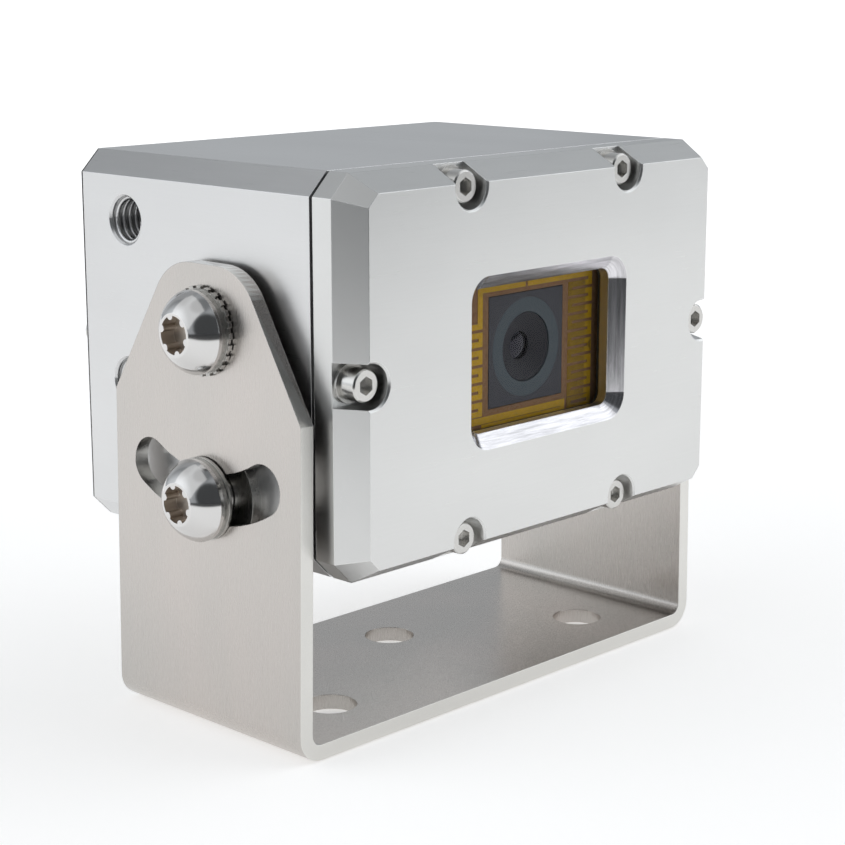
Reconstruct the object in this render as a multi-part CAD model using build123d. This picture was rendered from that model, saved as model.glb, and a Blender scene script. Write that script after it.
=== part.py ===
from build123d import *
import os
from math import hypot, radians, sin, sqrt

# Vehicle camera: a machined stainless steel block in a bent sheet bracket.
# Units are millimetres. +X is the camera's left-to-right line seen from behind the lens,
# -Y is the way the lens looks, +Z is up. The origin is the centre of the bracket's underside.

# Bracket, one bent sheet
BRACKET_DEPTH = 35.0
SHEET = 2.0
ARM_GAP_AT_BASE = 2.0
ARM_GAP_AT_PIVOT = 1.1
BEND_INNER_R = 1.5
SHOULDER_BELOW_PIVOT = 9.5
ARM_ABOVE_PIVOT = 8.2
ARM_TOP_WIDTH = 13.4
ARM_CORNER_R = 7.4
BASE_HOLE_D = 7.0
BASE_HOLE_SPACING = 50.0
BASE_FRONT_HOLE_Y = -8.0
BASE_REAR_HOLE_Y = 6.0

# Tilt: the pivot bolt and the clamp bolt that slides in the arc slot below it
TOTAL_HEIGHT = 72.0
PIVOT_BELOW_TOP = 20.2
SIDE_HOLE_PITCH = 21.1
TILT_EACH_WAY = 30.0
SLOT_CLEARANCE = 0.25
PIVOT_CLEARANCE = 0.05
CLAMP_GAP = 0.05

# Camera block
BODY_WIDTH = 70.0
BODY_HEIGHT = 49.6
BODY_DEPTH = 55.0
FRONT_REACH = 23.5
EDGE_CHAMFER = 2.85
FACE_CHAMFER_IN = 2.2
FRONT_CHAMFER_DEPTH = 4.0
FRONT_COVER_T = 7.15
REAR_COVER_T = 3.8
REAR_CHAMFER_IN = 3.0
GASKET_T = 0.5
REAR_GASKET_T = 0.25
GASKET_SETBACK = 0.4
SIDE_WALL = 10.0
TOP_WALL = 6.8
CAVITY_R = 6.0

# Tapped holes in the sides: the pivot pair and a spare pair further back
M6_R = 3.0
THREAD_GAP = 0.02
TAPPED_DEPTH = 8.0
TAPPED_LEAD_IN = 0.3
SPARE_HOLE_Y = 18.8
SPARE_HOLE_RISE = 11.7

# Cover screws in pockets that are open to the edge
COVER_SCREW_R = 1.25
COVER_HEAD_R = 2.05
COVER_HEAD_H = 2.5
COVER_SOCKET_FLATS = 2.0
COVER_SCREW_GRIP = 5.0
COVER_HOLE_SPARE = 0.5
COVER_SCREW_MARGIN = 2.7
REAR_SCREW_MARGIN = 4.4
COVER_SCREW_SPACING = 30.4
SCREW_PASS_CLEARANCE = 0.15
POCKET_R = 2.75
FRONT_POCKET_DEPTH = 4.1
REAR_POCKET_DEPTH = 2.6
COVER_WASHER_R = 2.5
COVER_WASHER_T = 0.5
RIM_BREAK = 0.25

# Window, heater film and lens
WINDOW_WIDTH = 30.4
WINDOW_HEIGHT = 22.0
WINDOW_R = 3.3
BEVEL_IN = 1.8
BEVEL_DEPTH = 1.6
WINDOW_WALL = 1.4
GLASS_LAP = 2.2
GLASS_T = 0.9
SEAL_T = 0.4
TRACK_T = 0.06
FILM_T = 0.14
PANE_CLEARANCE = 0.1
FILM_HOLE = 14.6
HOLDER_SIZE = 14.4
HOLDER_FLANGE = 18.0
HOLDER_FLANGE_T = 1.5
HOLDER_STANDS_PROUD = 0.05
BARREL_FRONT_R = 6.5
BARREL_THREAD_R = 6.0
BARREL_FRONT_L = 11.0
BARREL_REAR_L = 6.0
BARREL_BORE_R = 4.6
BARREL_REAR_BORE_R = 3.6
FRONT_LENS_SETBACK = 1.5
FRONT_LENS_DOME = 1.0
FRONT_LENS_SEAT = 4.2
REAR_LENS_T = 2.0

# Heater conductor: a meander down each side, joined along the top, and a bar at the bottom
TRACK_W = 0.58
TRACK_PITCH = 1.13
TRACK_RUNS = 14
SKIPPED_RUN_COUNT = 3
TRACK_TOP_Z = 7.1
TRACK_INNER_X = 8.5
TRACK_OUTER_X = 13.2
TRACK_BAR_W = 0.75
TOP_BAR_Z = 8.35
BOTTOM_BAR_Z = -8.55
RETURN_BAR_Z = -9.45
BOTTOM_BAR_END = 7.8
TERMINAL_GAP = 0.6

# Window retainer behind the glass
RETAINER_CLEARANCE = 1.5
RETAINER_HEIGHT = 31.0
RETAINER_T = 1.6
RETAINER_OPENING = 16.0
RETAINER_SCREW_X = 11.0
RETAINER_SCREW_Z = 13.5
M2_R = 1.0
M2_HEAD_R = 1.8
M2_HEAD_H = 1.3
M2_SOCKET_FLATS = 1.3
RETAINER_SCREW_GRIP = 1.8

# Boards on pillars
BOARD_CLEARANCE = 2.0
BOARD_R = 4.0
BOARD_T = 1.6
PILLAR_INSET = 4.0
PILLAR_FLATS = 4.0
FRONT_PILLAR_L = 21.1
REAR_PILLAR_L = 8.0
STUD_L = 1.6
SENSOR_SIZE = 7.0
SENSOR_T = 1.2
FILTER_T = 0.5
CHIP_SIZE = 11.0
CHIP_T = 1.3
HEADER_WIDTH = 12.0
HEADER_HEIGHT = 6.0
HEADER_L = 5.0
HEADER_DROP = 9.0

# Cable gland in the rear cover
GLAND_THREAD_R = 6.0
GLAND_HEX = 15.0
GLAND_HEX_L = 3.5
GLAND_BORE_R = 3.6
GLAND_NECK_L = 6.0
GLAND_NECK_WALL = 1.9
GLAND_INSIDE_L = 4.0
GLAND_WASHER_R = 7.5
GLAND_WASHER_T = 1.0
GLAND_NUT_HEX = 14.0
GLAND_NUT_HEX_L = 5.5
GLAND_NOSE_R = 6.7
GLAND_NOSE_TIP_R = 5.2
GLAND_NOSE_L = 4.5
GLAND_NUT_MOUTH_R = 3.4
GLAND_NUT_LIP = 1.6
CABLE_R = 2.3
LOCK_NUT_HEX = 16.0
LOCK_NUT_L = 2.6

# Button head bolts and their washers
BOLT_HEAD_R = 5.25
BOLT_HEAD_H = 3.3
BOLT_HEAD_LAND = 0.5
BOLT_HEAD_FLAT_R = 2.75
BOLT_SOCKET_R = 2.4
BOLT_SOCKET_DEPTH = 2.0
BOLT_GRIP_IN_BODY = 7.0
SPRING_WASHER_R = 5.1
SPRING_WASHER_T = 0.8
SPRING_WASHER_SPLIT = 0.8
SPRING_WASHER_SLANT = 20.0
TOOTH_WASHER_R = 5.6
TOOTH_WASHER_ROOT_R = 5.3
TOOTH_WASHER_T = 0.5
TOOTH_COUNT = 24
PLAIN_WASHER_R = 5.3
PLAIN_WASHER_T = 0.4
WASHER_BORE_R = 3.15
SPACER_R = 6.5

# Values that follow from the sizes above
BODY_MID_Z = TOTAL_HEIGHT - BODY_HEIGHT / 2
PIVOT_Z = TOTAL_HEIGHT - PIVOT_BELOW_TOP
FRONT_Y = -FRONT_REACH
REAR_Y = FRONT_Y + BODY_DEPTH
FRONT_COVER_BACK = FRONT_Y + FRONT_COVER_T
HOUSING_FRONT = FRONT_COVER_BACK + GASKET_T
REAR_COVER_FRONT = REAR_Y - REAR_COVER_T
HOUSING_BACK = REAR_COVER_FRONT - REAR_GASKET_T
SIDE_X = BODY_WIDTH / 2
BRACKET_WIDTH = 2 * (SIDE_X + ARM_GAP_AT_BASE + SHEET)
BEND_OUTER_R = BEND_INNER_R + SHEET
ARM_LEAN = (ARM_GAP_AT_BASE - ARM_GAP_AT_PIVOT) / (PIVOT_Z - BEND_OUTER_R)
SHOULDER_HEIGHT = PIVOT_Z - SHOULDER_BELOW_PIVOT
ARM_HEIGHT = PIVOT_Z + ARM_ABOVE_PIVOT
CAVITY_WIDTH = BODY_WIDTH - 2 * SIDE_WALL
CAVITY_HEIGHT = BODY_HEIGHT - 2 * TOP_WALL
PILLAR_X = CAVITY_WIDTH / 2 - PILLAR_INSET
PILLAR_Z = CAVITY_HEIGHT / 2 - PILLAR_INSET
RETAINER_WIDTH = 2 * (PILLAR_X - PILLAR_FLATS / 2 - RETAINER_CLEARANCE)
FRONT_LEDGE = FRONT_Y + FRONT_POCKET_DEPTH
REAR_LEDGE = REAR_Y - REAR_POCKET_DEPTH
OPENING_WIDTH = WINDOW_WIDTH - 2 * BEVEL_IN
OPENING_HEIGHT = WINDOW_HEIGHT - 2 * BEVEL_IN
OPENING_R = WINDOW_R - BEVEL_IN
GLASS_WIDTH = OPENING_WIDTH + 2 * GLASS_LAP
GLASS_HEIGHT = OPENING_HEIGHT + 2 * GLASS_LAP
GLASS_R = OPENING_R + GLASS_LAP
SEAL_Y = FRONT_Y + BEVEL_DEPTH + WINDOW_WALL
GLASS_Y = SEAL_Y + SEAL_T
TRACK_Y = GLASS_Y + GLASS_T
FILM_Y = TRACK_Y + TRACK_T
COVER_FLOOR = FILM_Y + FILM_T
HOLDER_Y = FILM_Y - HOLDER_STANDS_PROUD
SENSOR_BOARD_Y = COVER_FLOOR + FRONT_PILLAR_L
MAIN_BOARD_Y = SENSOR_BOARD_Y + BOARD_T + REAR_PILLAR_L


def octagon(inset=0.0):
    """Outline of the block seen from the front, drawn in x and z, moved in by an inset."""
    leg = EDGE_CHAMFER - inset * (2 - sqrt(2))
    outline = Rectangle(BODY_WIDTH - 2 * inset, BODY_HEIGHT - 2 * inset)
    return Pos(0, BODY_MID_Z) * chamfer(outline.vertices(), leg)


def centred(sketch):
    """Place a sketch on the line of sight, which is the middle of the block."""
    return Pos(0, BODY_MID_Z) * sketch


def facing(y):
    """Plane across the line of sight at depth y, with its normal to the front."""
    return Plane(origin=(0, y, 0), x_dir=(1, 0, 0), z_dir=(0, -1, 0))


def slab(sketch, y_front, y_back):
    """Solid between two depths from an outline drawn in x and z."""
    return extrude(facing(y_back) * sketch, amount=y_back - y_front)


def taper(sketch_front, y_front, sketch_back, y_back):
    """Solid with flat slanted sides between two like outlines at two depths."""
    sections = [facing(y_front) * sketch_front, facing(y_back) * sketch_back]
    return loft(sections, ruled=True)


def across(sketch, x_low, x_high):
    """Solid between two values of x from an outline drawn in y and z."""
    plane = Plane(origin=(x_low, 0, 0), x_dir=(0, 1, 0), z_dir=(1, 0, 0))
    return extrude(plane * sketch, amount=x_high - x_low)


def to_side(piece, y, z, x):
    """Stand a piece that was made along +Z on the right side, pointing out along +X."""
    plane = Plane(origin=(x, y, z), x_dir=(0, 1, 0), z_dir=(1, 0, 0))
    return plane * piece


def to_front(piece, x, z, y):
    """Stand a piece that was made along +Z so that it points to the front."""
    plane = Plane(origin=(x, y, z), x_dir=(1, 0, 0), z_dir=(0, -1, 0))
    return plane * piece


def to_rear(piece, x, z, y):
    """Stand a piece that was made along +Z so that it points to the rear."""
    plane = Plane(origin=(x, y, z), x_dir=(-1, 0, 0), z_dir=(0, 1, 0))
    return plane * piece


def ring(outer_r, inner_r, thickness):
    """Flat ring that stands on its own plane and rises along +Z."""
    return extrude(Circle(outer_r) - Circle(inner_r), amount=thickness)


def rod(radius, length):
    """Round bar from its own plane up along +Z."""
    return extrude(Circle(radius), amount=length)


def hexagon(flats, length):
    """Hexagonal bar from its own plane up along +Z."""
    return extrude(RegularPolygon(flats / 2, 6, major_radius=False, rotation=90), amount=length)


def six_lobe(radius):
    """Outline of a six-lobe socket: a circle with six round ribs between its lobes."""
    rib_r = radius / 5
    ribs = PolarLocations(radius, 6, start_angle=15) * Circle(rib_r)
    return Circle(radius) - ribs


def cover_screw_places(margin):
    """Places of a cover's six screws in x and z, each with the way its pocket opens."""
    places = []
    for side in (-1, 1):
        for end in (-1, 1):
            z = BODY_MID_Z + end * (BODY_HEIGHT / 2 - margin)
            places.append((side * COVER_SCREW_SPACING / 2, z, (0, end)))
        places.append((side * (BODY_WIDTH / 2 - margin), BODY_MID_Z, (side, 0)))
    return places


def four_places(x, z):
    """Four places about the line of sight, in x and z."""
    return [(i * x, BODY_MID_Z + k * z) for i in (-1, 1) for k in (-1, 1)]


def side_hole_places():
    """Places of the tapped holes in y and z: pivot, clamp bolt, and the spare pair."""
    spare_z = PIVOT_Z + SPARE_HOLE_RISE
    return [
        (0, PIVOT_Z),
        (0, PIVOT_Z - SIDE_HOLE_PITCH),
        (SPARE_HOLE_Y, spare_z),
        (SPARE_HOLE_Y, spare_z - SIDE_HOLE_PITCH),
    ]


# Mounting bracket: arms with tapered tips on a flat base, bent from one sheet. The bolts pull the
# arms in a little, so that they lean towards the block.

def arm_outer_x(z):
    """Where the outer face of the right arm is, at a height."""
    return BRACKET_WIDTH / 2 - ARM_LEAN * (z - BEND_OUTER_R)


def arm_outline():
    """Arm seen from the side: straight to the shoulders, then narrower to a rounded top."""
    foot = BRACKET_DEPTH / 2
    top = ARM_TOP_WIDTH / 2
    half = [(foot, 0), (foot, SHOULDER_HEIGHT), (top, ARM_HEIGHT)]
    other_half = [(-y, z) for y, z in reversed(half)]
    outline = make_face(Polyline(*half, *other_half, close=True))
    return fillet(outline.vertices().group_by(Axis.Y)[-1], ARM_CORNER_R)


def arc_slot():
    """Slot for the clamp bolt, an arc about the pivot with round ends."""
    half_width = M6_R + SLOT_CLEARANCE
    start = -90 - TILT_EACH_WAY
    middle = CenterArc((0, PIVOT_Z), SIDE_HOLE_PITCH, start, 2 * TILT_EACH_WAY)
    return trace(middle, line_width=2 * half_width) + [
        Pos(*(middle @ end)) * Circle(half_width) for end in (0, 1)
    ]


def mounting_bracket():
    """Sheet of one thickness bent up at both ends, then cut to the arm outline from the side."""
    half_width = BRACKET_WIDTH / 2
    foot = arm_outer_x(0)
    tip = arm_outer_x(TOTAL_HEIGHT)
    inner_foot = arm_outer_x(SHEET) - SHEET
    inner_tip = tip - SHEET
    outer = [(-foot, 0), (foot, 0), (tip, TOTAL_HEIGHT), (-tip, TOTAL_HEIGHT)]
    inner = [(-inner_foot, SHEET), (inner_foot, SHEET), (inner_tip, TOTAL_HEIGHT), (-inner_tip, TOTAL_HEIGHT)]
    outer = make_face(Polyline(*outer, close=True))
    inner = make_face(Polyline(*inner, close=True))
    outer_corners = outer.vertices().group_by(Axis.Y)[0]
    inner_corners = inner.vertices().group_by(Axis.Y)[0]
    profile = fillet(outer_corners, BEND_OUTER_R) - fillet(inner_corners, BEND_INNER_R)
    sheet = slab(profile, -BRACKET_DEPTH / 2, BRACKET_DEPTH / 2)
    bracket = sheet & across(arm_outline(), -half_width, half_width)
    pivot_hole = Pos(0, PIVOT_Z) * Circle(M6_R + PIVOT_CLEARANCE)
    bracket -= across(pivot_hole, -half_width, half_width)
    bracket -= across(arc_slot(), -half_width, half_width)
    half_spacing = BASE_HOLE_SPACING / 2
    for x, y in (
        (-half_spacing, BASE_FRONT_HOLE_Y),
        (half_spacing, BASE_FRONT_HOLE_Y),
        (0, BASE_REAR_HOLE_Y),
    ):
        bracket -= Pos(x, y, 0) * rod(BASE_HOLE_D / 2, SHEET)
    return bracket


# Camera block: housing, covers and gaskets

def housing():
    block = slab(octagon(), HOUSING_FRONT, HOUSING_BACK)
    cavity = centred(RectangleRounded(CAVITY_WIDTH, CAVITY_HEIGHT, CAVITY_R))
    block -= slab(cavity, HOUSING_FRONT, HOUSING_BACK)
    tapped = rod(COVER_SCREW_R + THREAD_GAP, COVER_SCREW_GRIP + COVER_HOLE_SPARE)
    for x, z, _ in cover_screw_places(COVER_SCREW_MARGIN):
        block -= to_rear(tapped, x, z, HOUSING_FRONT)
    for x, z, _ in cover_screw_places(REAR_SCREW_MARGIN):
        block -= to_front(tapped, x, z, HOUSING_BACK)
    hole_r = M6_R + THREAD_GAP
    lead_in_r = hole_r + TAPPED_LEAD_IN
    lead_in = Cone(hole_r, lead_in_r, TAPPED_LEAD_IN, align=(Align.CENTER, Align.CENTER, Align.MAX))
    hole = Pos(0, 0, -TAPPED_DEPTH) * rod(hole_r, TAPPED_DEPTH) + lead_in
    for y, z in side_hole_places():
        drilled = to_side(hole, y, z, SIDE_X)
        block -= drilled
        block -= mirror(drilled, about=Plane.YZ)
    return block


def pocket(x, z, way, margin, grow=0.0):
    """Screw pocket outline: a round end at the screw, open to the edge of the cover."""
    radius = POCKET_R + grow
    reach = margin + POCKET_R
    size = (reach, 2 * radius) if way[0] else (2 * radius, reach)
    channel = Pos(x + way[0] * reach / 2, z + way[1] * reach / 2) * Rectangle(*size)
    return Pos(x, z) * Circle(radius) + channel


def window_outline(inset):
    """Window outline in the front cover, moved in from its rim by an inset."""
    width = WINDOW_WIDTH - 2 * inset
    height = WINDOW_HEIGHT - 2 * inset
    return centred(RectangleRounded(width, height, WINDOW_R - inset))


def front_cover():
    chamfer_back = FRONT_Y + FRONT_CHAMFER_DEPTH
    cover = slab(octagon(), chamfer_back, FRONT_COVER_BACK)
    cover += taper(octagon(FACE_CHAMFER_IN), FRONT_Y, octagon(), chamfer_back)
    rim = window_outline(0)
    opening = window_outline(BEVEL_IN)
    pane = centred(RectangleRounded(GLASS_WIDTH, GLASS_HEIGHT, GLASS_R))
    cavity = centred(RectangleRounded(CAVITY_WIDTH, CAVITY_HEIGHT, CAVITY_R))
    cover -= taper(rim, FRONT_Y, opening, FRONT_Y + BEVEL_DEPTH)
    cover -= slab(opening, FRONT_Y + BEVEL_DEPTH, SEAL_Y)
    cover -= slab(pane, SEAL_Y, COVER_FLOOR)
    cover -= slab(cavity, COVER_FLOOR, FRONT_COVER_BACK)
    through = rod(COVER_SCREW_R + SCREW_PASS_CLEARANCE, FRONT_COVER_T)
    for x, z, way in cover_screw_places(COVER_SCREW_MARGIN):
        room = pocket(x, z, way, COVER_SCREW_MARGIN)
        wide = pocket(x, z, way, COVER_SCREW_MARGIN, RIM_BREAK)
        cover -= slab(room, FRONT_Y, FRONT_LEDGE)
        cover -= taper(wide, FRONT_Y, room, FRONT_Y + RIM_BREAK)
        cover -= to_rear(through, x, z, FRONT_Y)
    tapped = rod(M2_R + THREAD_GAP, RETAINER_SCREW_GRIP)
    for x, z in four_places(RETAINER_SCREW_X, RETAINER_SCREW_Z) + four_places(PILLAR_X, PILLAR_Z):
        cover -= to_front(tapped, x, z, COVER_FLOOR)
    return cover


def rear_cover():
    cover = taper(octagon(), REAR_COVER_FRONT, octagon(REAR_CHAMFER_IN), REAR_Y)
    through = rod(COVER_SCREW_R + SCREW_PASS_CLEARANCE, REAR_COVER_T)
    for x, z, way in cover_screw_places(REAR_SCREW_MARGIN):
        cover -= slab(pocket(x, z, way, REAR_SCREW_MARGIN), REAR_LEDGE, REAR_Y)
        cover -= to_front(through, x, z, REAR_Y)
    gland_hole = rod(GLAND_THREAD_R + THREAD_GAP, REAR_COVER_T)
    cover -= to_front(gland_hole, 0, BODY_MID_Z, REAR_Y)
    return cover


def cover_gasket(y_front, y_back, margin):
    """Flat gasket between a cover and the housing, set back a little from the outside."""
    cavity = centred(RectangleRounded(CAVITY_WIDTH, CAVITY_HEIGHT, CAVITY_R))
    outline = octagon(GASKET_SETBACK) - cavity
    for x, z, _ in cover_screw_places(margin):
        outline -= Pos(x, z) * Circle(COVER_SCREW_R + SCREW_PASS_CLEARANCE)
    return slab(outline, y_front, y_back)


def cap_screw(head_r, head_h, shank_r, shank_l, socket_flats):
    """Cap screw with its head above its own plane and its shank below."""
    screw = rod(head_r, head_h)
    screw = chamfer(screw.edges().group_by(Axis.Z)[-1], head_h / 12)
    screw -= Pos(0, 0, head_h / 2) * hexagon(socket_flats, head_h)
    return screw + Pos(0, 0, -shank_l) * rod(shank_r, shank_l)


def front_cover_screws():
    past_ledge = FRONT_COVER_BACK - FRONT_LEDGE + GASKET_T + COVER_WASHER_T
    length = past_ledge + COVER_SCREW_GRIP
    screw = cap_screw(COVER_HEAD_R, COVER_HEAD_H, COVER_SCREW_R, length, COVER_SOCKET_FLATS)
    head_y = FRONT_LEDGE - COVER_WASHER_T
    places = cover_screw_places(COVER_SCREW_MARGIN)
    return [to_front(screw, x, z, head_y) for x, z, _ in places]


def front_screw_washers():
    washer = ring(COVER_WASHER_R, COVER_SCREW_R + SCREW_PASS_CLEARANCE, COVER_WASHER_T)
    places = cover_screw_places(COVER_SCREW_MARGIN)
    return [to_front(washer, x, z, FRONT_LEDGE) for x, z, _ in places]


def rear_cover_screws():
    length = REAR_LEDGE - REAR_COVER_FRONT + REAR_GASKET_T + COVER_SCREW_GRIP
    screw = cap_screw(COVER_HEAD_R, COVER_HEAD_H, COVER_SCREW_R, length, COVER_SOCKET_FLATS)
    places = cover_screw_places(REAR_SCREW_MARGIN)
    return [to_rear(screw, x, z, REAR_LEDGE) for x, z, _ in places]


# Window: seal, glass, heater conductor and film, and the frame that holds them in

def window_seal():
    outer = RectangleRounded(GLASS_WIDTH, GLASS_HEIGHT, GLASS_R)
    inner = RectangleRounded(OPENING_WIDTH, OPENING_HEIGHT, OPENING_R)
    return slab(centred(outer - inner), SEAL_Y, GLASS_Y)


def window_glass():
    trim = 2 * PANE_CLEARANCE
    pane = RectangleRounded(GLASS_WIDTH - trim, GLASS_HEIGHT - trim, GLASS_R - PANE_CLEARANCE)
    return slab(centred(pane), GLASS_Y, TRACK_Y)


def heater_film():
    trim = 2 * PANE_CLEARANCE
    sheet = RectangleRounded(GLASS_WIDTH - trim, GLASS_HEIGHT - trim, GLASS_R - PANE_CLEARANCE)
    return slab(centred(sheet - Rectangle(FILM_HOLE, FILM_HOLE)), FILM_Y, COVER_FLOOR)


def track_piece(x_low, x_high, z_low, z_high):
    """Straight piece of the flat conductor, between two values of x and two of z."""
    corners = (Align.MIN, Align.MIN)
    return Pos(x_low, z_low) * Rectangle(x_high - x_low, z_high - z_low, align=corners)


def meander(side, first_run):
    """Runs of conductor down one side of the film, joined in turn at their inner and outer ends."""
    track = Sketch()
    for run in range(first_run, TRACK_RUNS):
        top = TRACK_TOP_Z - run * TRACK_PITCH + TRACK_W / 2
        track += track_piece(TRACK_INNER_X, TRACK_OUTER_X, top - TRACK_W, top)
        if run + 1 < TRACK_RUNS:
            turn_x = TRACK_INNER_X if run % 2 == 0 else TRACK_OUTER_X - TRACK_W
            track += track_piece(turn_x, turn_x + TRACK_W, top - TRACK_PITCH - TRACK_W, top)
    return mirror(track, about=Plane.YZ) if side < 0 else track


def heater_conductor():
    """Flat conductor: two meanders, joined along the top, and a folded bar at the bottom."""
    half_bar = TRACK_BAR_W / 2
    last_z = TRACK_TOP_Z - (TRACK_RUNS - 1) * TRACK_PITCH
    leg_z = TRACK_TOP_Z - SKIPPED_RUN_COUNT * TRACK_PITCH
    leg_x = -TRACK_INNER_X - TRACK_BAR_W
    top_edge = TOP_BAR_Z + half_bar
    return_low = RETURN_BAR_Z - TRACK_W / 2
    turn_x = TRACK_OUTER_X - TRACK_W
    bottom_low = BOTTOM_BAR_Z - half_bar
    track = meander(-1, SKIPPED_RUN_COUNT) + meander(1, 0)
    track += track_piece(leg_x, TRACK_OUTER_X, top_edge - TRACK_BAR_W, top_edge)
    track += track_piece(leg_x, -TRACK_INNER_X, leg_z, top_edge)
    track += track_piece(turn_x, TRACK_OUTER_X, TRACK_TOP_Z, top_edge)
    track += track_piece(-TRACK_OUTER_X, BOTTOM_BAR_END, bottom_low, BOTTOM_BAR_Z + half_bar)
    track += track_piece(-TRACK_OUTER_X, -turn_x, bottom_low, last_z)
    track += track_piece(BOTTOM_BAR_END - TRACK_BAR_W, BOTTOM_BAR_END, return_low, BOTTOM_BAR_Z)
    track += track_piece(-TRACK_INNER_X, BOTTOM_BAR_END, return_low, return_low + TRACK_W)
    track += track_piece(turn_x, TRACK_OUTER_X, return_low, last_z)
    track += track_piece(TRACK_INNER_X, TRACK_OUTER_X, return_low, BOTTOM_BAR_Z + half_bar)
    track -= track_piece(TRACK_INNER_X + TRACK_W, turn_x, return_low + TRACK_W, BOTTOM_BAR_Z)
    track -= Pos(0, TOP_BAR_Z) * Rectangle(TERMINAL_GAP, 2 * TRACK_BAR_W)
    return slab(centred(track), TRACK_Y, FILM_Y)


def window_retainer():
    frame = RectangleRounded(RETAINER_WIDTH, RETAINER_HEIGHT, BEND_INNER_R)
    frame = centred(frame - Rectangle(RETAINER_OPENING, RETAINER_OPENING))
    for x, z in four_places(RETAINER_SCREW_X, RETAINER_SCREW_Z):
        frame -= Pos(x, z) * Circle(M2_R + SCREW_PASS_CLEARANCE)
    return slab(frame, COVER_FLOOR, COVER_FLOOR + RETAINER_T)


def retainer_screws():
    length = RETAINER_T + RETAINER_SCREW_GRIP - SCREW_PASS_CLEARANCE
    screw = cap_screw(M2_HEAD_R, M2_HEAD_H, M2_R, length, M2_SOCKET_FLATS)
    places = four_places(RETAINER_SCREW_X, RETAINER_SCREW_Z)
    return [to_rear(screw, x, z, COVER_FLOOR + RETAINER_T) for x, z in places]


# Lens on the sensor board

def lens_holder():
    """Square mount: its front plate fills the hole in the film, its flange sits on the board."""
    length = SENSOR_BOARD_Y - HOLDER_Y
    back = SENSOR_BOARD_Y
    holder = slab(centred(Rectangle(HOLDER_SIZE, HOLDER_SIZE)), HOLDER_Y, back)
    flange = centred(RectangleRounded(HOLDER_FLANGE, HOLDER_FLANGE, BEND_INNER_R))
    holder += slab(flange, back - HOLDER_FLANGE_T, back)
    front_bore = rod(BARREL_FRONT_R + THREAD_GAP, BARREL_FRONT_L)
    holder -= to_rear(front_bore, 0, BODY_MID_Z, HOLDER_Y)
    holder -= to_rear(rod(BARREL_THREAD_R + THREAD_GAP, length), 0, BODY_MID_Z, HOLDER_Y)
    return holder


def lens_barrel():
    """Stepped barrel: a ring seen from the front, and a threaded rear part."""
    barrel = rod(BARREL_THREAD_R, BARREL_REAR_L)
    barrel += Pos(0, 0, BARREL_REAR_L) * rod(BARREL_FRONT_R, BARREL_FRONT_L)
    total = BARREL_REAR_L + BARREL_FRONT_L
    barrel -= rod(BARREL_REAR_BORE_R, total)
    seat = FRONT_LENS_SEAT
    barrel -= Pos(0, 0, total - seat) * rod(BARREL_BORE_R, seat)
    barrel -= rod(BARREL_BORE_R, REAR_LENS_T)
    return to_front(barrel, 0, BODY_MID_Z, HOLDER_Y + total)


def front_lens():
    """Front element: a cylinder edge with a shallow dome to the front."""
    radius = BARREL_BORE_R
    sphere_r = (radius ** 2 + FRONT_LENS_DOME ** 2) / (2 * FRONT_LENS_DOME)
    edge = FRONT_LENS_SEAT - FRONT_LENS_SETBACK - FRONT_LENS_DOME
    lens = rod(radius, edge + FRONT_LENS_DOME)
    lens &= Pos(0, 0, edge + FRONT_LENS_DOME - sphere_r) * Sphere(sphere_r)
    return to_front(lens, 0, BODY_MID_Z, HOLDER_Y + FRONT_LENS_SEAT)


def rear_lens():
    barrel_back = HOLDER_Y + BARREL_FRONT_L + BARREL_REAR_L
    return to_front(rod(BARREL_BORE_R, REAR_LENS_T), 0, BODY_MID_Z, barrel_back)


def infrared_filter():
    sensor_front = SENSOR_BOARD_Y - SENSOR_T
    return slab(centred(Rectangle(SENSOR_SIZE, SENSOR_SIZE)), sensor_front - FILTER_T, sensor_front)


def image_sensor():
    chip = centred(Rectangle(SENSOR_SIZE, SENSOR_SIZE))
    return slab(chip, SENSOR_BOARD_Y - SENSOR_T, SENSOR_BOARD_Y)


# Boards, and the pillars that carry them

def board(y_front):
    width = CAVITY_WIDTH - 2 * BOARD_CLEARANCE
    height = CAVITY_HEIGHT - 2 * BOARD_CLEARANCE
    outline = centred(RectangleRounded(width, height, BOARD_R))
    for x, z in four_places(PILLAR_X, PILLAR_Z):
        outline -= Pos(x, z) * Circle(M2_R + SCREW_PASS_CLEARANCE)
    return slab(outline, y_front, y_front + BOARD_T)


def pillar(length, stud):
    """Hexagonal pillar with a stud below its own plane and a tapped bore at its far end."""
    body = hexagon(PILLAR_FLATS, length)
    body -= Pos(0, 0, length - BOARD_T - 2 * STUD_L) * rod(M2_R + THREAD_GAP, BOARD_T + 2 * STUD_L)
    return body + Pos(0, 0, -stud) * rod(M2_R, stud)


def front_pillars():
    part = pillar(FRONT_PILLAR_L, STUD_L)
    return [to_rear(part, x, z, COVER_FLOOR) for x, z in four_places(PILLAR_X, PILLAR_Z)]


def rear_pillars():
    part = pillar(REAR_PILLAR_L, BOARD_T + STUD_L)
    y = SENSOR_BOARD_Y + BOARD_T
    return [to_rear(part, x, z, y) for x, z in four_places(PILLAR_X, PILLAR_Z)]


def board_screws():
    screw = cap_screw(M2_HEAD_R, M2_HEAD_H, M2_R, BOARD_T + STUD_L, M2_SOCKET_FLATS)
    y = MAIN_BOARD_Y + BOARD_T
    return [to_rear(screw, x, z, y) for x, z in four_places(PILLAR_X, PILLAR_Z)]


def video_processor():
    chip = centred(Rectangle(CHIP_SIZE, CHIP_SIZE))
    return slab(chip, MAIN_BOARD_Y - CHIP_T, MAIN_BOARD_Y)


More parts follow.
